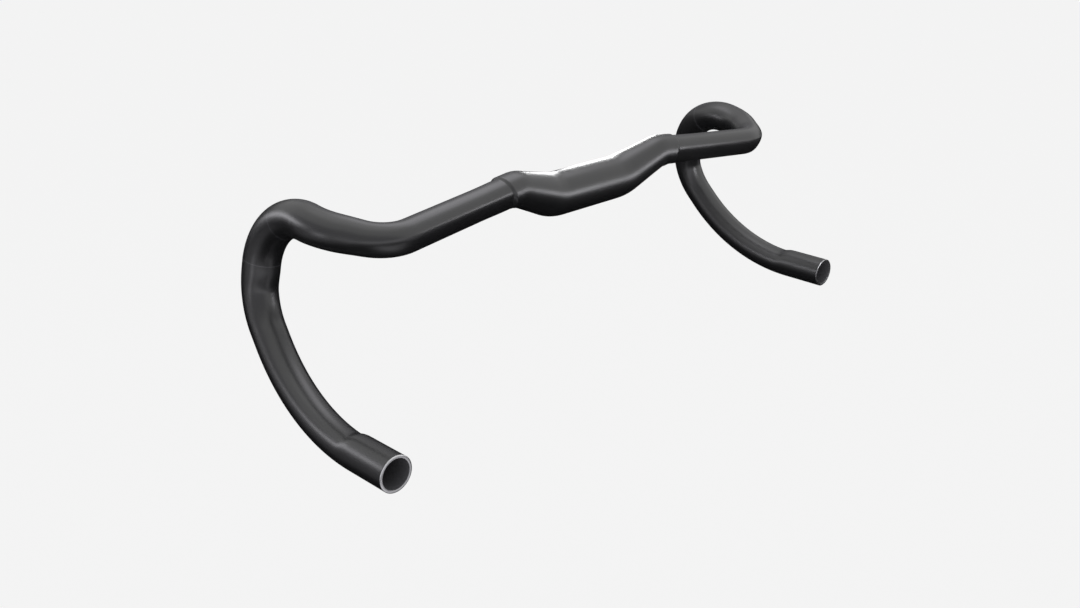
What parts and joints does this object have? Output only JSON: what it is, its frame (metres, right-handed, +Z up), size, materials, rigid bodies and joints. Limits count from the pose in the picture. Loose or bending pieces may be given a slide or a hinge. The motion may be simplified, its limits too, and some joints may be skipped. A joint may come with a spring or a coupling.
{
  "type": "handlebar",
  "caption": "Hollow drop handlebar with a round clamping zone, raised and swept back tops, full front bends, flared curved drops and round open ends.",
  "frame": {"origin": "middle of the round clamping zone, on its axis", "axes": "+X along the clamping zone to the rider's right, +Y forward, +Z up, with the open ends level"},
  "size_m": [0.4964, 0.1587, 0.1494],
  "materials": {
    "bar": "satin black over aluminium"
  },
  "bodies": {
    "root": {"handlebar": "bar"}
  },
  "joints": []
}
